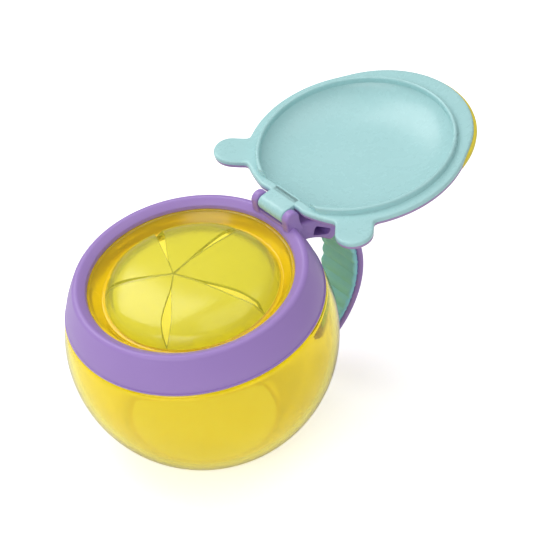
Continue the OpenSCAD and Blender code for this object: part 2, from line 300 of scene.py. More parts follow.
def arc(cx, cy, r, from_deg, to_deg, steps):
    """Points along an arc."""
    t = np.radians(np.linspace(from_deg, to_deg, steps + 1))
    return np.column_stack([cx + r * np.cos(t), cy + r * np.sin(t)]).tolist()


def bezier(p0, p1, p2, p3, steps):
    """Points along a cubic curve."""
    t = np.linspace(0, 1, steps + 1)[:, None]
    p0, p1, p2, p3 = (np.array(p, float) for p in (p0, p1, p2, p3))
    return ((1 - t) ** 3 * p0 + 3 * t * (1 - t) ** 2 * p1
            + 3 * t * t * (1 - t) * p2 + t ** 3 * p3).tolist()


def rounded(points, radii, steps=4, closed=False):
    """A path whose corners are arcs of the given radii."""
    made = []
    count = len(points)
    for i, (p, r) in enumerate(zip(points, radii)):
        if r <= 0 or (not closed and i in (0, count - 1)):
            made.append(list(p))
            continue
        here = Vector(p)
        before = (Vector(points[i - 1]) - here).normalized()
        after = (Vector(points[(i + 1) % count]) - here).normalized()
        half = before.angle(after) / 2
        cut = r / math.tan(half)
        middle = here + (before + after).normalized() * (r / math.sin(half))
        a, b = here + before * cut - middle, here + after * cut - middle
        for k in range(steps + 1):
            made.append(list(middle + a.slerp(b, k / steps)))
    return made


# Materials

def group_input(group, name, kind, value):
    """Adds a named input with a value to a node group."""
    socket = group.interface.new_socket(name, in_out="INPUT", socket_type=kind)
    socket.default_value = value


def moulded_surface_group():
    """Soft waviness and a fine grain, as a height, with a mask of handling marks."""
    group = bpy.data.node_groups.new("moulded_surface", "ShaderNodeTree")
    group_input(group, "Wave Scale", "NodeSocketFloat", 60.0)
    group_input(group, "Grain Scale", "NodeSocketFloat", 2400.0)
    group_input(group, "Grain Share", "NodeSocketFloat", 0.3)
    group.interface.new_socket("Height", in_out="OUTPUT", socket_type="NodeSocketFloat")
    group.interface.new_socket("Marks", in_out="OUTPUT", socket_type="NodeSocketFloat")
    nodes, links = group.nodes, group.links
    start = nodes.new("NodeGroupInput")
    end = nodes.new("NodeGroupOutput")
    coords = nodes.new("ShaderNodeTexCoord")
    wave = nodes.new("ShaderNodeTexNoise")
    wave.inputs["Detail"].default_value = 2.0
    grain = nodes.new("ShaderNodeTexNoise")
    grain.inputs["Detail"].default_value = 1.0
    mix = nodes.new("ShaderNodeMix")
    mix.data_type = "FLOAT"
    marks = nodes.new("ShaderNodeTexNoise")
    marks.inputs["Scale"].default_value = 140.0
    marks.inputs["Detail"].default_value = 6.0
    marks.inputs["Roughness"].default_value = 0.7
    curve = nodes.new("ShaderNodeMapRange")
    curve.inputs["From Min"].default_value = 0.42
    curve.inputs["From Max"].default_value = 0.72
    links.new(coords.outputs["Object"], wave.inputs["Vector"])
    links.new(coords.outputs["Object"], grain.inputs["Vector"])
    links.new(coords.outputs["Object"], marks.inputs["Vector"])
    links.new(start.outputs["Wave Scale"], wave.inputs["Scale"])
    links.new(start.outputs["Grain Scale"], grain.inputs["Scale"])
    links.new(start.outputs["Grain Share"], mix.inputs["Factor"])
    links.new(wave.outputs["Fac"], mix.inputs["A"])
    links.new(grain.outputs["Fac"], mix.inputs["B"])
    links.new(mix.outputs["Result"], end.inputs["Height"])
    links.new(marks.outputs["Fac"], curve.inputs["Value"])
    links.new(curve.outputs["Result"], end.inputs["Marks"])
    return group


MOULDED = moulded_surface_group()


def plastic(name, low, high, roughness, bump, marks=0.06, wave=60.0, grain=2400.0, share=0.3):
    """An opaque or clear moulding: a colour that varies a little, with grain and handling marks."""
    material = bpy.data.materials.new(name)
    material.use_nodes = True
    nodes, links = material.node_tree.nodes, material.node_tree.links
    shader = nodes["Principled BSDF"]
    surface = nodes.new("ShaderNodeGroup")
    surface.node_tree = MOULDED
    surface.inputs["Wave Scale"].default_value = wave
    surface.inputs["Grain Scale"].default_value = grain
    surface.inputs["Grain Share"].default_value = share
    tint = nodes.new("ShaderNodeMix")
    tint.data_type = "RGBA"
    tint.inputs["A"].default_value = (*low, 1)
    tint.inputs["B"].default_value = (*high, 1)
    gloss = nodes.new("ShaderNodeMapRange")
    gloss.inputs["To Min"].default_value = roughness
    gloss.inputs["To Max"].default_value = roughness + marks
    relief = nodes.new("ShaderNodeBump")
    relief.inputs["Strength"].default_value = bump
    relief.inputs["Distance"].default_value = 0.0002
    links.new(surface.outputs["Height"], tint.inputs["Factor"])
    links.new(surface.outputs["Marks"], gloss.inputs["Value"])
    links.new(surface.outputs["Height"], relief.inputs["Height"])
    links.new(tint.outputs["Result"], shader.inputs["Base Color"])
    links.new(gloss.outputs["Result"], shader.inputs["Roughness"])
    links.new(relief.outputs["Normal"], shader.inputs["Normal"])
    return material


def see_through(material, transmission, ior, shadow_alpha):
    """Lets light through, and lightens the shadow that a clear piece throws."""
    nodes, links = material.node_tree.nodes, material.node_tree.links
    shader = nodes["Principled BSDF"]
    shader.inputs["Transmission Weight"].default_value = transmission
    shader.inputs["IOR"].default_value = ior
    light = nodes.new("ShaderNodeLightPath")
    alpha = nodes.new("ShaderNodeMapRange")
    alpha.inputs["To Min"].default_value = 1.0
    alpha.inputs["To Max"].default_value = shadow_alpha
    links.new(light.outputs["Is Shadow Ray"], alpha.inputs["Value"])
    links.new(alpha.outputs["Result"], shader.inputs["Alpha"])
    return material


def cup_material():
    return see_through(plastic("cup_yellow_clear", (0.95, 0.82, 0.08), (0.96, 0.85, 0.12),
                               0.04, 0.05, marks=0.04), 1.0, 1.46, 0.25)


def insert_material():
    return see_through(plastic("insert_yellow_soft", (0.80, 0.77, 0.13), (0.82, 0.80, 0.16),
                               0.16, 0.06, marks=0.06), 0.75, 1.42, 0.3)


# The band's deeper amber is painted: it stands in for the cup's neck and the purple collar seen
# through the soft yellow plastic where it lies over them.
def rim_material():
    return see_through(plastic("insert_soft_painted_through_tint", (0.98, 0.72, 0.025), (0.99, 0.75, 0.035),
                               0.16, 0.06, marks=0.06), 0.7, 1.42, 0.3)


def collar_material():
    return plastic("collar_purple", (0.355, 0.225, 0.580), (0.385, 0.245, 0.610), 0.36, 0.25)


def grip_material():
    return plastic("grip_mint_rubber", (0.280, 0.700, 0.760), (0.310, 0.740, 0.800), 0.55, 0.4)


def liner_material():
    return plastic("lid_mint", (0.400, 0.680, 0.690), (0.425, 0.705, 0.715), 0.26, 0.15)


def shell_material():
    return plastic("lid_mauve", (0.400, 0.270, 0.520), (0.430, 0.290, 0.550), 0.36, 0.25)


def lip_material():
    return plastic("lid_lip_yellow", (0.860, 0.700, 0.050), (0.880, 0.730, 0.065), 0.30, 0.15)


def pin_material():
    return plastic("pin_purple", (0.270, 0.165, 0.460), (0.300, 0.185, 0.490), 0.30, 0.1)


# Cup

def axis_at(height):
    """The axis of the ball's rows, which leans with the mouth at the top and not at the base."""
    lean = TILT * smoothstep((height - LEAN_FROM) / LEAN_OVER)
    return Vector((0, -math.sin(lean), math.cos(lean)))


def ball_rows(radius, low, high, steps, count):
    """Rows on a sphere from a low height to a high one, each square to its own axis."""
    rows = []
    for angle in np.linspace(math.asin(low / radius), math.asin(high / radius), steps):
        height = radius * math.sin(angle)
        axis = axis_at(height)
        rows.append(circle(axis * height, axis, radius * math.cos(angle), count))
    return rows


def base_rows(radius, floor, corner, count):
    """Rows of a flat base and its rounded corner, which runs into a sphere."""
    middle_r = math.sqrt((radius - corner) ** 2 - (floor - corner) ** 2)
    end = -math.degrees(math.asin((floor - corner) / (radius - corner)))
    profile = [(0, -floor)] + [(middle_r * s, -floor) for s in (0.35, 0.7, 0.93)]
    profile += arc(middle_r, corner - floor, corner, -90, end, 6)
    return lathe(profile, count), radius * math.sin(math.radians(end))


def neck_radius(height, turn):
    """The neck's outside, with its thread."""
    along = (height - SHOULDER_H - 1.6) / THREAD_PITCH
    rise = np.zeros_like(turn)
    for lap in (0, 1):
        share = turn + lap
        inside = smoothstep(share / 0.06) * smoothstep((THREAD_TURNS - share) / 0.06)
        away = np.abs(along - share) * THREAD_PITCH
        rise = np.maximum(rise, inside * smoothstep(1 - away / THREAD_HALF))
    return NECK_R + THREAD_RISE * rise


def cup():
    """The ball with its flat base, shoulder, threaded neck and hollow inside."""
    count = 160
    outside, base_top = base_rows(BALL_R, BALL.z, BASE_CORNER, count)
    corner_h = SHOULDER_H - SHOULDER_ROUND
    corner_r = math.sqrt((BALL_R - SHOULDER_ROUND) ** 2 - corner_h ** 2)
    corner_deg = math.degrees(math.atan2(corner_h, corner_r))
    ball_top = BALL_R * math.sin(math.radians(corner_deg))
    outside += ball_rows(BALL_R, base_top, ball_top, 40, count)[1:]
    lean = Matrix.Rotation(TILT, 3, "X")
    turn = np.arange(count) / count

    def leaned(rows):
        return [np.asarray(row) @ np.array(lean).T for row in rows]

    top = arc(corner_r, corner_h, SHOULDER_ROUND, corner_deg, 90, 4)[1:]
    top += [(NECK_R + 3, SHOULDER_H), (NECK_R + 0.5, SHOULDER_H),
            (NECK_R + 0.12, SHOULDER_H + 0.15)]
    outside += leaned(lathe(top, count))
    neck = []
    for height in np.linspace(SHOULDER_H + 0.6, NECK_TOP - 0.6, 22):
        r = neck_radius(height, turn)
        neck.append(np.column_stack([r * np.cos(turn * 2 * math.pi), r * np.sin(turn * 2 * math.pi),
                                     np.full(count, height)]))
    outside += leaned(neck)
    inner_r = NECK_R - NECK_WALL
    under = SHOULDER_H - WALL
    rim = rounded([(NECK_R, NECK_TOP - 0.6), (NECK_R, NECK_TOP), (inner_r, NECK_TOP),
                   (inner_r, under), (BALL_R, under)], [0, 0.5, 0.5, 1.0, 0])[1:-1]
    outside += leaned(lathe(rim, count))
    inner_ball = BALL_R - WALL
    inside, floor_top = base_rows(inner_ball, BALL.z - FLOOR_T, INNER_BASE_CORNER, count)
    inner_corner_h = under - INNER_CORNER
    inner_corner_r = math.sqrt((inner_ball - INNER_CORNER) ** 2 - inner_corner_h ** 2)
    inner_deg = math.degrees(math.atan2(inner_corner_h, inner_corner_r))
    inner_top = inner_ball * math.sin(math.radians(inner_deg))
    inside += ball_rows(inner_ball, floor_top, inner_top, 36, count)[1:]
    inner_arc = arc(inner_corner_r, inner_corner_h, INNER_CORNER, inner_deg, 90, 4)[1:]
    inside += leaned(lathe(inner_arc, count))
    shell = Shell().rows(outside + inside[::-1])
    return make("cup_body", shell, BALL_FRAME, cup_material(), 60)


# Insert and flaps

def dome_height(radius, span, rise):
    """Height of the flaps' low dome over the groove."""
    share = np.clip(np.asarray(radius) / span, 0, 1)
    return GROOVE_H + rise * np.power(1 - share ** 3, 1 / 2.5)


def insert_ring():
    """The flange, the sloping band and the groove round the dome."""
    profile = rounded(
        [(FLANGE_R, FLANGE_LOW), (FLANGE_R, FLANGE_TOP), (BAND_R, FLANGE_TOP),
         (GROOVE_R, GROOVE_H), (DOME_R + 0.05, GROOVE_H), (DOME_R + 0.05, GROOVE_H - INSERT_T),
         (GROOVE_R, GROOVE_H - INSERT_T), (BAND_R - 0.4, FLANGE_LOW)],
        [0.2, 0.4, 0.8, 0.5, 0, 0, 0.8, 0.4], closed=True)
    shell = Shell().rows(lathe(profile, 200), wrap=True)
    # Its material paints in the deeper amber that the neck and collar give, seen through the band.
    return make("insert_band", shell, MOUTH_FRAME, rim_material(), 50)


# The slits: direction and radius of the outer end, then the gaps on the slit's left and right
# side seen from the meeting point, and the share of the way out where the gap is widest
MEET = np.array([-3.3, -4.3])
SLITS = [
    (16, 29.8, 1.3, 1.3, 0.74),
    (107, 29.2, 0.4, 2.2, 0.84),
    (167, 29.8, 0.5, 2.5, 0.92),
    (232, 29.0, 0.3, 1.0, 0.80),
    (305, 29.8, 1.4, 1.9, 0.76),
]
# Where the flaps' bending lines meet, as in the solids
CLOSED_TO = 0.16
GAP_CLOSING = 0.45
GAP_HAIR = 0.12


def slit_gap(share, widest):
    """How far a gap has opened, from 0 at the meeting point to 1 where it is widest."""
    rise = smoothstep((share - CLOSED_TO) / (widest - CLOSED_TO))
    fall = 1 - GAP_CLOSING * smoothstep((share - widest) / (1.02 - widest))
    return rise * fall


def slit_side(slit, share, side):
    """A point on one edge of a slit, with side 1 on its left and -1 on its right."""
    degrees, reach, left, right, widest = slit
    end = reach * np.array([math.cos(math.radians(degrees)), math.sin(math.radians(degrees))])
    along = (end - MEET) / np.linalg.norm(end - MEET)
    across = np.array([-along[1], along[0]]) * side
    open_by = (left if side > 0 else right) * slit_gap(share, widest) + GAP_HAIR
    return MEET + (end - MEET) * share + across * open_by


def leaf_surface(index):
    """A grid over one leaf: rows run from the dome's foot to the meeting point."""
    first, second = SLITS[index], SLITS[(index + 1) % len(SLITS)]
    a0, a1 = first[0], second[0] + (360 if second[0] < first[0] else 0)
    across_steps, along_steps = 40, 44
    u = np.linspace(0, 1, across_steps + 1)
    foot_deg = np.radians(a0 + (a1 - a0) * u)
    foot = DOME_R * np.column_stack([np.cos(foot_deg), np.sin(foot_deg)])
    rows = []
    for share in 1 - np.linspace(0, 0.985, along_steps + 1) ** 0.85:
        straight = MEET + (foot - MEET) * share
        at_first = slit_side(first, share, 1) - straight[0]
        at_second = slit_side(second, share, -1) - straight[-1]
        hold = smoothstep((1.0 - share) / 0.03) if share > 0.97 else 1.0
        pull_first = np.power(1 - u, 3.0)[:, None]
        pull_second = np.power(u, 3.0)[:, None]
        rows.append(straight + hold * (pull_first * at_first + pull_second * at_second))
    return np.array(rows)


def leaf(index):
    """One flap: two faces and a rounded edge between them."""
    grid = leaf_surface(index)
    radius = np.linalg.norm(grid, axis=2)
    outer = np.dstack([grid, dome_height(radius, DOME_R, DOME_H)])
    shrink = (DOME_R - INSERT_T) / DOME_R
    inner = np.dstack([grid * (1 - (1 - shrink) * smoothstep((radius - 20) / 10.7)[..., None]),
                       dome_height(radius, DOME_R, DOME_H) - INSERT_T])
    middle = (outer + inner) / 2

    def rim(surface):
        return np.concatenate([surface[0], surface[1:, -1], surface[-1, -2::-1],
                               surface[-2:0:-1, 0]])

    shell = Shell()
    shell.rows(outer, around=False)
    shell.rows(inner, around=False)
    bulge = rim(middle)
    flat = bulge[:, :2]
    along = np.roll(flat, -1, 0) - np.roll(flat, 1, 0)
    along /= np.maximum(np.linalg.norm(along, axis=1), 1e-6)[:, None]
    bulge[:, 0] += along[:, 1] * LEAF_EDGE_BULGE
    bulge[:, 1] -= along[:, 0] * LEAF_EDGE_BULGE
    shell.rows([rim(outer), bulge, rim(inner)])
    return make("flap_leaf_%d" % (index + 1), shell, MOUTH_FRAME, INSERT, 60)


def lug_tree():
    """Lugs round a circle, as geometry nodes."""
    tree = bpy.data.node_groups.new("ring_of_lugs", "GeometryNodeTree")
    tree.interface.new_socket("Geometry", in_out="OUTPUT", socket_type="NodeSocketGeometry")
    for name, value in (("Radius", 0.036), ("Width", 0.006), ("Depth", 0.002), ("Height", 0.002)):
        group_input(tree, name, "NodeSocketFloat", value)
    group_input(tree, "Count", "NodeSocketInt", 12)
    tree.interface.new_socket("Material", in_out="INPUT", socket_type="NodeSocketMaterial")
    nodes, links = tree.nodes, tree.links
    start, end = nodes.new("NodeGroupInput"), nodes.new("NodeGroupOutput")
    ring = nodes.new("GeometryNodeMeshCircle")
    block = nodes.new("GeometryNodeMeshCube")
    size = nodes.new("ShaderNodeCombineXYZ")
    place = nodes.new("GeometryNodeInputPosition")
    turn = nodes.new("FunctionNodeAlignRotationToVector")
    turn.axis = "X"
    turn.pivot_axis = "Z"
    spread = nodes.new("GeometryNodeInstanceOnPoints")
    real = nodes.new("GeometryNodeRealizeInstances")
    paint = nodes.new("GeometryNodeSetMaterial")
    links.new(start.outputs["Count"], ring.inputs["Vertices"])
    links.new(start.outputs["Radius"], ring.inputs["Radius"])
    links.new(start.outputs["Depth"], size.inputs["X"])
    links.new(start.outputs["Width"], size.inputs["Y"])
    links.new(start.outputs["Height"], size.inputs["Z"])
    links.new(size.outputs["Vector"], block.inputs["Size"])
    links.new(place.outputs["Position"], turn.inputs["Vector"])
    links.new(ring.outputs["Mesh"], spread.inputs["Points"])
    links.new(block.outputs["Mesh"], spread.inputs["Instance"])
    links.new(turn.outputs["Rotation"], spread.inputs["Rotation"])
    links.new(spread.outputs["Instances"], real.inputs["Geometry"])
    links.new(real.outputs["Geometry"], paint.inputs["Geometry"])
    links.new(start.outputs["Material"], paint.inputs["Material"])
    links.new(paint.outputs["Geometry"], end.inputs["Geometry"])
    return tree


def insert_lugs():
    """The short lugs under the flange, which centre the insert in the neck."""
    tree = lug_tree()
    mesh = bpy.data.meshes.new("insert_lugs")
    obj = bpy.data.objects.new("insert_lugs", mesh)
    bpy.context.scene.collection.objects.link(obj)
    modifier = obj.modifiers.new("lugs", "NODES")
    modifier.node_group = tree
    middle_r = (BAND_R + NECK_R - NECK_WALL - LUG_GAP) / 2
    values = {
        "Radius": middle_r * MM,
        "Width": 2 * middle_r * math.tan(math.radians(LUG_DEG / 2)) * MM,
        "Depth": (NECK_R - NECK_WALL - LUG_GAP - BAND_R) * MM,
        "Height": LUG_TALL * MM,
        "Count": LUG_COUNT,
        "Material": INSERT,
    }
    for item in tree.interface.items_tree:
        if item.in_out == "INPUT":
            modifier[item.identifier] = values[item.name]
    settle(obj, 30)
    height = FLANGE_LOW - LUG_BELOW
    half_step = Matrix.Rotation(math.pi / LUG_COUNT, 4, "Z")
    place = MOUTH_FRAME @ Matrix.Translation((0, 0, height)) @ half_step
    obj.data.transform(Matrix.Scale(MM, 4) @ place @ Matrix.Scale(1 / MM, 4))
    return obj


# Collar

def collar_ring():
    """Rows of the collar's section: skirt, crest, lip and bore."""
    tangent = math.radians(SKIRT_TANGENT_DEG)
    start = (CREST_R + CREST_ROUND * math.cos(tangent), CREST_H + CREST_ROUND * math.sin(tangent))
    side = bezier((SKIRT_R - 0.05, SKIRT_LOW + 0.7), (SKIRT_R - 0.3, SKIRT_LOW + 4.2),
                  (start[0] + 1.7, start[1] - 3.6), start, 16)
    crest = arc(CREST_R, CREST_H, CREST_ROUND, SKIRT_TANGENT_DEG, CREST_END_DEG, 12)[1:]
    lip = rounded([crest[-1], (LIP_R, LIP_TOP), (LIP_R, LIP_LOW), (BORE_R, LIP_LOW),
                   (BORE_R, SKIRT_LOW), (SKIRT_R, SKIRT_LOW), side[0]],
                  [0, 0.5, 0.25, 0.6, 0.4, 0.55, 0], 5)[1:-1]
    return lathe(side + crest + lip, 200)


def ear(side):
    """A hinge ear: a round-edged plate whose foot spreads into the crest."""
    count = 72
    t = np.linspace(0, 2 * math.pi, count, endpoint=False)
    foot_h = CREST_H - EAR_FOOT_BELOW_CREST
    outline = np.column_stack([PIN.y + EAR_R * np.cos(t), PIN.z + EAR_R * np.sin(t)])
    below = outline[:, 1] < PIN.z
    down = (PIN.z - outline[:, 1]) / EAR_R
    outline[below, 1] = PIN.z - down[below] ** 0.8 * (PIN.z - foot_h)
    depth = np.clip((PIN.z - 0.8 - outline[:, 1]) / (PIN.z - 0.8 - foot_h), 0, 1)
    half = np.where(below, np.maximum(np.abs(np.cos(t)), 1 - down * 0.1) * EAR_R, 0)
    outline[below, 0] = PIN.y + np.sign(np.cos(t[below]) + 1e-9) * half[below]
    back = np.cos(t) > 0
    outline[:, 0] += np.where(below, np.where(back, 1, -0.2) * EAR_FOOT_BACK * depth ** 2.2, 0)
    centre = np.array([PIN.y, PIN.z - 1.2])
    rows = []
    middle = (EAR_IN + EAR_OUT) / 2
    half_w = (EAR_OUT - EAR_IN) / 2
    pull = outline - centre
    outward = pull / np.linalg.norm(pull, axis=1)[:, None]
    loops = [(half_w, centre + pull * share) for share in (0.25, 0.55, 0.8)]
    for a in np.radians([0, 22, 45, 68, 90]):
        loops.append((half_w - EAR_EDGE * (1 - math.cos(a)),
                      outline - outward * EAR_EDGE * (1 - math.sin(a))))
    for sign in (-1, 1):
        part = []
        for x, loop in loops:
            near_foot = np.clip((CREST_H + EAR_SPREAD_H - loop[:, 1]) / 5, 0, 1)
            spread = 1 + EAR_SPREAD * near_foot ** 2
            part.append(np.column_stack([middle * side + sign * x * spread, loop]))
        pole = np.array([[middle * side + sign * half_w, centre[0], centre[1]]])
        part.insert(0, pole)
        rows += part if sign < 0 else part[::-1]
    return rows


def collar():
    """The collar with its two hinge ears."""
    shell = Shell().rows(collar_ring(), wrap=True)
    for side in (-1, 1):
        shell.rows(ear(side))
    return make("collar_body", shell, MOUTH_FRAME, COLLAR, 45)


# Handle

def handle_point(x, r, degrees):
    """A point at a radius and angle on the handle's curve."""
    a = math.radians(degrees)
    return (x, HANDLE_Y + r * math.cos(a), HANDLE_Z + r * math.sin(a))


def handle_section(half, low, high, edge, degrees, steps=4):
    """A rounded box across the handle, between two radii."""
    edge = min(edge, (high - low) / 2 - 0.02, half - 0.02)
    loop = rounded([(-half, low), (half, low), (half, high), (-half, high)], [edge] * 4, steps,
                   closed=True)
    return [handle_point(x, r, degrees) for x, r in loop]


def tip_half(degrees, tip, half):
    """The half width near the round tip."""
    away = max(0.0, (degrees - tip) * math.pi / 180 * HANDLE_R)
    if away >= TIP_CORNER:
        return half
    return half - TIP_CORNER + math.sqrt(max(0.0, TIP_CORNER ** 2 - (TIP_CORNER - away) ** 2))


def handle_frame_piece():
    """The strap and the arm, with a pocket cut in each side."""
    rows = []
    for degrees in np.concatenate([HANDLE_TIP + np.array([0.15, 0.5, 1.2, 2.4, 4.2, 6.5, 9]),
                                   np.linspace(HANDLE_TIP + 12, HANDLE_STEP, 50)]):
        away = (degrees - HANDLE_TIP) * math.pi / 180 * HANDLE_R
        thin = 0.35 + 0.65 * math.sqrt(1 - max(0.0, 1 - away) ** 2)
        middle = (GRIP_R + HANDLE_R) / 2
        half_t = (HANDLE_R - GRIP_R) / 2 * thin
        rows.append(handle_section(tip_half(degrees, HANDLE_TIP, HANDLE_HALF), middle - half_t,
                                   middle + half_t, STRAP_EDGE, degrees))
    for past, above in ((0, 0.8), (0.4, 0.35), (1.2, 0.08)):
        rows.append(handle_section(HANDLE_HALF, ARM_IN + above, HANDLE_R, STRAP_EDGE,
                                   HANDLE_STEP + past))
    for degrees in np.linspace(HANDLE_STEP + 2.4, HANDLE_ROOT, 20):
        rows.append(handle_section(HANDLE_HALF, ARM_IN, HANDLE_R, STRAP_EDGE, degrees))
    shell = Shell().rows(rows, capped=True)
    obj = make("handle_strap", shell, MOUTH_FRAME, COLLAR, 45)
    for side in (-1, 1):
        cut = pocket(side)
        modifier = obj.modifiers.new("pocket", "BOOLEAN")
        modifier.operation = "DIFFERENCE"
        modifier.solver = "EXACT"
        modifier.object = cut
    bevel = obj.modifiers.new("edge", "BEVEL")
    bevel.width = 0.25 * MM
    bevel.segments = 2
    bevel.limit_method = "ANGLE"
    bevel.angle_limit = math.radians(50)
    settle(obj, 45)
    for cut in [o for o in bpy.data.objects if o.name.startswith("pocket_cut")]:
        bpy.data.objects.remove(cut)
    return obj


def pocket(side):
    """The solid that is cut from the arm for its pocket."""
    per_degree = HANDLE_R * math.pi / 180 * 0.86
    loop = rounded([(POCKET_FROM * per_degree, POCKET_LOW), (POCKET_TO * per_degree, POCKET_LOW),
                    (POCKET_TO * per_degree, POCKET_HIGH), (POCKET_FROM * per_degree, POCKET_HIGH)],
                   [1.6, 1.0, 1.0, 1.6], 5, closed=True)
    centre = np.mean(loop, axis=0)
    bottom = HANDLE_HALF - POCKET_DEPTH
    rows = []
    for x, share in ((HANDLE_HALF + 2, 1.0), (HANDLE_HALF - 3.0, 0.97), (bottom + 0.4, 0.93),
                     (bottom, 0.84)):
        row = []
        for p in loop:
            along, r = centre + (np.array(p) - centre) * share
            row.append(handle_point(side * x, r, along / per_degree))
        rows.append(row)
    shell = Shell().rows(rows, capped=True)
    cut = make("pocket_cut_%d" % side, shell, MOUTH_FRAME, COLLAR)
    cut.hide_render = True
    return cut


def handle_grip_piece():
    """The soft layer inside the strap, with ribs across it."""
    pitch = RIB_PITCH / GRIP_R * 180 / math.pi
    middle = (GRIP_FROM + HANDLE_STEP) / 2
    half = HANDLE_HALF - GRIP_INSET
    rows = []
    for degrees in np.linspace(GRIP_FROM, HANDLE_STEP, 190):
        wave = abs(math.cos(math.pi * (degrees - middle) / pitch)) ** RIB_POWER
        fade = smoothstep((degrees - GRIP_FROM) / 6) * smoothstep((HANDLE_STEP - degrees) / 5)
        away = max(0.0, (degrees - GRIP_FROM) * math.pi / 180 * GRIP_R)
        thin = 0.25 + 0.75 * math.sqrt(1 - max(0.0, 1 - away / 1.6) ** 2)
        low = GRIP_R - (GRIP_T + RIB_RISE * wave * (0.25 + 0.75 * fade)) * thin
        width = min(tip_half(degrees, GRIP_FROM - 6.5, half),
                    tip_half(degrees, GRIP_FROM, half + 1.2))
        rows.append(handle_section(width - 0.5 * (1 - wave) * fade, low, GRIP_R + 0.02, GRIP_EDGE,
                                   degrees, 5))
    shell = Shell().rows(rows, capped=True)
    return make("handle_ribs", shell, MOUTH_FRAME, grip_material(), 60)


# Lid

def lid_polar(degrees):
    """Radius of the lid's outline about its centre. Degrees run from the hinge towards +X."""
    t = np.radians(degrees)
    shift = HINGE_SIDE_R - HINGE_SIDE_REACH
    flat = -shift * np.cos(t) + np.sqrt((shift * np.cos(t)) ** 2 + HINGE_SIDE_R ** 2 - shift ** 2)
    body = np.where(np.cos(t) > 0.7, np.minimum(LID_R, flat), LID_R)
    notch = NOTCH_Y / np.maximum(np.cos(t), 0.3)
    by_ears = (np.abs(body * np.sin(t)) < EAR_OUT + NOTCH_GAP) & (np.cos(t) > 0)
    body = np.where(by_ears, notch, body)
    for side in (-1, 1):
        off = np.radians((degrees - side * TAB_AT + 180) % 360 - 180)
        aside = TAB_REACH * np.sin(off)
        tip = TAB_REACH * np.cos(off) + np.sqrt(np.maximum(TAB_R ** 2 - aside ** 2, 0))
        flank = TAB_R / np.maximum(np.abs(np.sin(off)), 1e-6)
        tab = np.where(np.abs(aside) < TAB_R, np.minimum(tip, flank), 0)
        flank_only = np.where((np.abs(off) < 0.3) & (flank < TAB_REACH), flank, 0)
        body = np.maximum(body, np.maximum(tab, np.where(np.abs(aside) >= TAB_R, flank_only, 0)))
    return np.where(np.cos(t) < 0, front_polar(t), body)


def front_polar(t):
    """The front half of the outline: two circles and the straight lines that touch both."""
    ahead = np.abs(np.pi - t)
    lean = math.acos((LID_R - LID_FRONT_R) / LID_FRONT_Y)
    touch = math.atan2(LID_FRONT_R * math.sin(lean), LID_FRONT_Y + LID_FRONT_R * math.cos(lean))
    aside = LID_FRONT_Y * np.sin(ahead)
    nose = LID_FRONT_Y * np.cos(ahead) + np.sqrt(LID_FRONT_R ** 2 - aside ** 2)
    side = LID_R / np.cos(np.minimum(ahead, lean) - lean)
    return np.where(ahead < touch, nose, side)


def lid_outline(count=420, soft=3.2):
    """Points along the lid's outline, evenly spaced, with its corners eased."""
    degrees = np.arange(0, 360, 0.05)
    r = lid_polar(degrees)
    path = np.column_stack([r * np.sin(np.radians(degrees)), r * np.cos(np.radians(degrees))])
    closed = np.vstack([path, path[:1]])
    along = np.concatenate([[0], np.cumsum(np.linalg.norm(np.diff(closed, axis=0), axis=1))])
    fine = np.linspace(0, along[-1], 3000, endpoint=False)
    points = np.column_stack([np.interp(fine, along, closed[:, k]) for k in (0, 1)])
    window = max(1, int(soft / along[-1] * 3000))
    total = np.zeros_like(points)
    for shift in range(-window // 2, window // 2 + 1):
        total += np.roll(points, shift, axis=0)
    points = total / len(range(-window // 2, window // 2 + 1))
    keep = np.linspace(0, 3000, count, endpoint=False).astype(int)
    return points[keep]


def inset(points, by):
    """The outline drawn in along its own normal."""
    along = np.roll(points, -1, 0) - np.roll(points, 1, 0)
    along /= np.linalg.norm(along, axis=1)[:, None]
    return points + np.column_stack([along[:, 1], -along[:, 0]]) * by


def at_height(points, height):
    """Points of the plate at a height. The tabs droop a little towards the collar."""
    past = (np.linalg.norm(points, axis=1) - LID_R) / (TAB_REACH + TAB_R - LID_R)
    droop = np.where(points[:, 1] > 0, TAB_DROOP * smoothstep(past), 0)
    return np.column_stack([points[:, 0], points[:, 1] + LID_Y, height - droop])


def dish_edge(outline):
    """The point of the dish's edge in each outline point's direction."""
    reach = np.linalg.norm(outline, axis=1)
    away = outline / reach[:, None]
    chord = CHORD_Y / np.maximum(away[:, 1], 1e-3)
    r = np.where(away[:, 1] > 0.5, np.minimum(DISH_R, chord), DISH_R)
    return away * r[:, None]


def dish_floor(share):
    """Height of the dish's inner face, from the middle at 0 to its edge at 1."""
    return LID_LOW + DISH_D * np.power(1 - np.clip(share, 0, 1) ** 4, 0.8)


def layer_line(share):
    """Height where the inner and the outer layer meet over the dish."""
    return max(LINER_TOP, dish_floor(share) + LINER_OVER_DISH)


def outer_height(radius):
    """Height of the outer layer's low dome."""
    ball = (DISH_R ** 2 + DISH_D ** 2) / (2 * DISH_D)
    middle = LID_LOW + DISH_D - ball
    return middle + np.sqrt(np.maximum((ball + SHELL_TOP - LID_LOW) ** 2 - radius ** 2, 0))


def plate_rows(outline, low, high, edge_low, edge_high):
    """The rounded rim of a plate, from its low face to its high one."""
    rows = []
    for a in np.radians([90, 65, 40, 20, 0]):
        rows.append(at_height(inset(outline, edge_low * (1 - math.cos(a))),
                              low + edge_low * (1 - math.sin(a))))
    for a in np.radians([0, 20, 40, 65, 90]):
        rows.append(at_height(inset(outline, edge_high * (1 - math.cos(a))),
                              high - edge_high * (1 - math.sin(a))))
    return rows


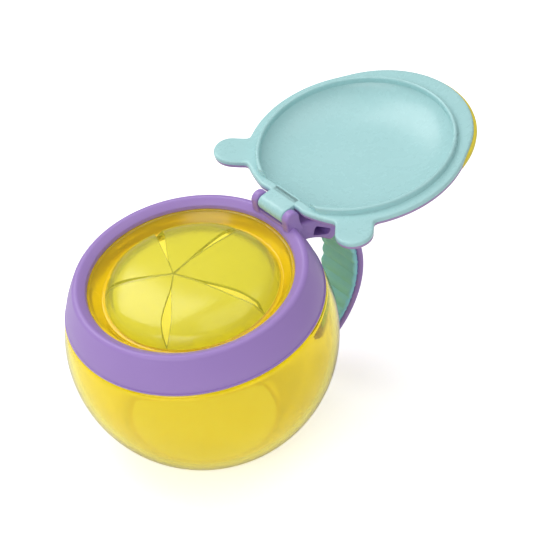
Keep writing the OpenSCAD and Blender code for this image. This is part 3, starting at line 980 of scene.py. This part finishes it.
def lid_liner_piece():
    """The inner layer: dish, flange, plug ring and hinge tongue."""
    outline = lid_outline()
    edge = dish_edge(outline)
    rows = [[(0, LID_Y, dish_floor(0.0))]]
    for share in (0.08, 0.2, 0.32, 0.44, 0.55, 0.64, 0.72, 0.79, 0.85, 0.9, 0.94, 0.97, 0.985,
                  0.995):
        rows.append(at_height(edge * share, dish_floor(share)))
    rows.append(at_height(edge, LID_LOW + 0.05))
    rows.append(at_height(edge * 1.003, LID_LOW))
    inner = inset(outline, LINER_EDGE)
    for share in (0.15, 0.45, 0.8):
        rows.append(at_height(edge * (1 - share) + inner * share, LID_LOW))
    rows += plate_rows(outline, LID_LOW, LINER_TOP, LINER_EDGE, 0.15)
    for share in (0.96, 0.9, 0.8, 0.65, 0.45, 0.2):
        rows.append(at_height(edge * share, layer_line(share)))
    rows.append([(0, LID_Y, layer_line(0.0))])
    shell = Shell().rows(rows)
    shell.rows(plug_ring(), capped=True)
    shell.rows(tongue(), capped=True)
    return make("lid_inner", shell, LID_FRAME, liner_material(), 40)


def plug_ring():
    """The ridge that plugs the mouth, cut off flat along the dish's straight side."""
    top = LID_LOW - RING_H
    crest = (RING_R + DISH_R) / 2
    half = (RING_R - DISH_R) / 2
    section = [(RING_R + 0.25, LID_LOW + 0.3), (RING_R + 0.12, LID_LOW - 0.25),
               (RING_R, LID_LOW - 0.7)]
    section += arc(crest, top + half, half, 0, -180, 8)
    section += [(DISH_R, LID_LOW - 0.5), (DISH_R - 0.02, LID_LOW + 0.3)]
    rows = []
    for share in np.linspace(0, 1, 150):
        row = []
        for r, h in section:
            end = math.acos(CHORD_Y / r)
            a = end + (2 * math.pi - 2 * end) * share
            row.append((r * math.sin(a), LID_Y + r * math.cos(a), h))
        rows.append(row)
    return rows


def tongue():
    """The hinge barrel and the plate that carries it, drawn in the Y-Z plane."""
    outline = [(LID_Y + CHORD_Y - 0.4, LID_LOW), (PIN.y, LID_LOW)]
    outline += arc(PIN.y, PIN.z, BARREL_R, -90, 120, 22)[1:]
    outline += bezier(outline[-1], (PIN.y - 3.6, PIN.z + 1.2), (PIN.y - 3.6, LINER_TOP + 0.1),
                      (PIN.y - 4.6, LINER_TOP), 8)[1:]
    outline += [(LID_Y + CHORD_Y - 0.4, LINER_TOP)]
    loop = np.array(outline)
    along = np.roll(loop, -1, 0) - np.roll(loop, 1, 0)
    along /= np.linalg.norm(along, axis=1)[:, None]
    inward = np.column_stack([-along[:, 1], along[:, 0]])
    rows = []
    for sign in (-1, 1):
        angles = np.radians([90, 60, 30, 0])
        part = [(TONGUE_HALF - TONGUE_EDGE * (1 - math.sin(a)), TONGUE_EDGE * (1 - math.cos(a)))
                for a in angles]
        for x, pull in (part if sign < 0 else part[::-1]):
            moved = loop + inward * pull
            rows.append(np.column_stack([np.full(len(loop), sign * x), moved]))
    return rows


def lid_shell_piece():
    """The outer layer, which fills in from the liner to its own low dome."""
    outline = inset(lid_outline(), 0.12)
    reach = np.linalg.norm(outline, axis=1)
    away = outline / reach[:, None]
    edge = dish_edge(outline)
    rows = [[(0, LID_Y, layer_line(0.0) + 0.05)]]
    for share in (0.2, 0.45, 0.65, 0.8, 0.9, 0.96):
        rows.append(at_height(edge * share, layer_line(share) + 0.05))
    rows += plate_rows(outline, LINER_TOP + 0.02, SHELL_TOP, 0.15, SHELL_EDGE)
    foot = math.sqrt((outer_height(0.0) - SHELL_TOP) * 2 * OUTER_DOME_R)
    for r in (foot + 1.8, foot + 0.6, foot - 0.6, foot - 2.0):
        r = min(r, 34.6)
        height = max(SHELL_TOP, outer_height(r))
        rows.append(at_height(away * r, height))
    for r in (28.0, 21.0, 14.0, 7.0):
        rows.append(at_height(away * r, outer_height(r)))
    rows.append([(0, LID_Y, outer_height(0.0))])
    shell = Shell().rows(rows)
    return make("lid_outer", shell, LID_FRAME, shell_material(), 40)


def lid_lip_piece():
    """The yellow crescent along the front of the outer layer."""
    count = 90
    t = np.radians(np.linspace(-LIP_SPAN, LIP_SPAN, count))
    front_r = LID_FRONT_R + LIP_OVER
    outer = np.column_stack([front_r * np.sin(t), -LID_FRONT_Y - front_r * np.cos(t)])
    r = np.linalg.norm(outer, axis=1)
    inner_r = np.minimum(LID_R - LIP_BAND, r - 0.35)
    inner = outer / r[:, None] * inner_r[:, None]
    rows = []
    low, high = LINER_TOP - 0.02, SHELL_TOP + 0.12
    for k in range(count):
        width = np.linalg.norm(outer[k] - inner[k])
        edge = min(0.6, width / 2 - 0.05)
        away = (outer[k] - inner[k]) / width
        loop = rounded([(0, low), (width, low), (width, high), (0, high)],
                       [min(0.1, edge), min(0.5, edge), edge, min(0.3, edge)], 4, closed=True)
        rows.append([(*(inner[k] + away * w + np.array([0, LID_Y])), h) for w, h in loop])
    shell = Shell().rows(rows, capped=True)
    return make("lid_front_lip", shell, LID_FRAME, lip_material(), 40)


def hinge_pin_piece():
    """The pin through both ears and the barrel."""
    half = EAR_OUT - PIN_SHORT
    end_r, straight = PIN_R - PIN_CHAMFER, half - PIN_CHAMFER
    profile = [(0, -half), (end_r, -half), (PIN_R, -straight), (PIN_R, straight), (end_r, half),
               (0, half)]
    shell = Shell().rows(lathe(profile, 40))
    place = (MOUTH_FRAME @ Matrix.Translation((0, PIN.y, PIN.z))
             @ Matrix.Rotation(math.pi / 2, 4, "Y"))
    return make("hinge_pin_rod", shell, place, pin_material(), 40)


# The pieces, each with the node that it stands in for, and all but the flaps on their bodies

INSERT = insert_material()
COLLAR = collar_material()

made = cup()
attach(made, "cup")
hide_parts("cup")

made = insert_ring()
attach(made, "insert")
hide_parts("insert_ring")

made = insert_lugs()
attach(made, "insert")

for number in range(1, 6):
    made = leaf(number - 1)
    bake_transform(made)
    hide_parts("flap_%d" % number)

made = collar()
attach(made, "collar")
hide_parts("collar")

made = handle_frame_piece()
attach(made, "collar")
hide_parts("handle_frame")

made = handle_grip_piece()
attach(made, "collar")
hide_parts("handle_grip")

made = hinge_pin_piece()
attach(made, "collar")
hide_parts("hinge_pin")

made = lid_liner_piece()
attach(made, "lid")
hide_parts("lid_liner")

made = lid_shell_piece()
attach(made, "lid")
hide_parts("lid_shell")

made = lid_lip_piece()
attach(made, "lid")
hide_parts("lid_lip")


# Floor, light and camera, in metres and watts

FLOOR_HALF = 6.0
FLOOR_GLOW = 0.46
FLOOR_GLOW_THROUGH_CUP = 0.26
WORLD_LEVEL = 0.44
WORLD_LEVEL_SHOWN = 0.85
WORLD_LESS_IN_GLOSS = 0.22
LAMPS_FACE = (0.0, 0.02, 0.05)
LAMPS = [
    ("key_left", (-0.75, -0.15, 0.95), (0.7, 0.7), 5.0),
    ("fill_front", (0.35, -0.95, 0.75), (0.9, 0.6), 4.6),
    ("top", (0.1, 0.2, 1.3), (0.9, 0.9), 3.0),
]
CAMERA_AZIMUTH = 50.32
CAMERA_ELEVATION = 36.58
CAMERA_AWAY = 0.700
CAMERA_LENS = 131.54
CAMERA_TARGET = (0.00513, 0.02688, 0.05731)


def floor():
    """A pale floor, which shows white and keeps the shadow."""
    material = bpy.data.materials.new("studio_floor")
    material.use_nodes = True
    nodes, links = material.node_tree.nodes, material.node_tree.links
    shader = nodes["Principled BSDF"]
    shader.inputs["Base Color"].default_value = (0.93, 0.93, 0.93, 1)
    shader.inputs["Roughness"].default_value = 0.9
    shader.inputs["Specular IOR Level"].default_value = 0.0
    shader.inputs["Emission Color"].default_value = (1, 1, 1, 1)
    light = nodes.new("ShaderNodeLightPath")
    seen = nodes.new("ShaderNodeMath")
    seen.operation = "MULTIPLY"
    seen.inputs[1].default_value = FLOOR_GLOW
    lift = nodes.new("ShaderNodeMath")
    lift.operation = "MULTIPLY_ADD"
    lift.inputs[1].default_value = FLOOR_GLOW_THROUGH_CUP
    links.new(light.outputs["Is Camera Ray"], seen.inputs[0])
    links.new(light.outputs["Is Transmission Ray"], lift.inputs[0])
    links.new(seen.outputs["Value"], lift.inputs[2])
    links.new(lift.outputs["Value"], shader.inputs["Emission Strength"])
    mesh = bpy.data.meshes.new("studio_floor")
    corners = [(x * FLOOR_HALF, y * FLOOR_HALF, 0) for x, y in ((-1, -1), (1, -1), (1, 1), (-1, 1))]
    mesh.from_pydata(corners, [], [(0, 1, 2, 3)])
    mesh.materials.append(material)
    obj = bpy.data.objects.new("studio_floor", mesh)
    bpy.context.scene.collection.objects.link(obj)


def world():
    """Even light, lower where it would show as a veil on the clear plastic."""
    made = bpy.data.worlds.new("studio")
    made.use_nodes = True
    background = made.node_tree.nodes["Background"]
    background.inputs["Color"].default_value = (1, 1, 1, 1)
    nodes, links = made.node_tree.nodes, made.node_tree.links
    light = nodes.new("ShaderNodeLightPath")
    level = nodes.new("ShaderNodeMapRange")
    shine = nodes.new("ShaderNodeMath")
    shine.operation = "MULTIPLY_ADD"
    shine.inputs[1].default_value = -WORLD_LESS_IN_GLOSS
    shine.inputs[2].default_value = WORLD_LEVEL
    links.new(light.outputs["Is Glossy Ray"], shine.inputs[0])
    links.new(shine.outputs["Value"], level.inputs["To Min"])
    level.inputs["To Max"].default_value = WORLD_LEVEL_SHOWN
    add = nodes.new("ShaderNodeMath")
    add.operation = "ADD"
    add.use_clamp = True
    links.new(light.outputs["Is Camera Ray"], add.inputs[0])
    links.new(light.outputs["Is Transmission Ray"], add.inputs[1])
    links.new(add.outputs["Value"], level.inputs["Value"])
    links.new(level.outputs["Result"], background.inputs["Strength"])
    bpy.context.scene.world = made


def area_light(name, place, target, size, power):
    """A soft lamp that faces a point."""
    data = bpy.data.lights.new(name, "AREA")
    data.shape = "RECTANGLE"
    data.size, data.size_y = size
    data.energy = power
    obj = bpy.data.objects.new(name, data)
    obj.location = place
    obj.rotation_mode = "QUATERNION"
    obj.rotation_quaternion = (Vector(target) - Vector(place)).to_track_quat("-Z", "Y")
    bpy.context.scene.collection.objects.link(obj)


def camera():
    """The camera that was solved from the photo's ball and mouth."""
    data = bpy.data.cameras.new("photo_camera")
    data.sensor_width = 36.0
    data.lens = CAMERA_LENS
    data.clip_start = 0.01
    data.clip_end = 20.0
    obj = bpy.data.objects.new("photo_camera", data)
    azimuth, elevation = math.radians(CAMERA_AZIMUTH), math.radians(CAMERA_ELEVATION)
    back = Vector((math.sin(azimuth) * math.cos(elevation),
                   -math.cos(azimuth) * math.cos(elevation), math.sin(elevation)))
    obj.location = Vector(CAMERA_TARGET) + back * CAMERA_AWAY
    obj.rotation_mode = "QUATERNION"
    obj.rotation_quaternion = (-back).to_track_quat("-Z", "Y")
    bpy.context.scene.collection.objects.link(obj)
    bpy.context.scene.camera = obj


floor()
world()
for name, place, size, power in LAMPS:
    area_light(name, place, LAMPS_FACE, size, power)
camera()
bpy.context.scene.view_settings.view_transform = "Standard"
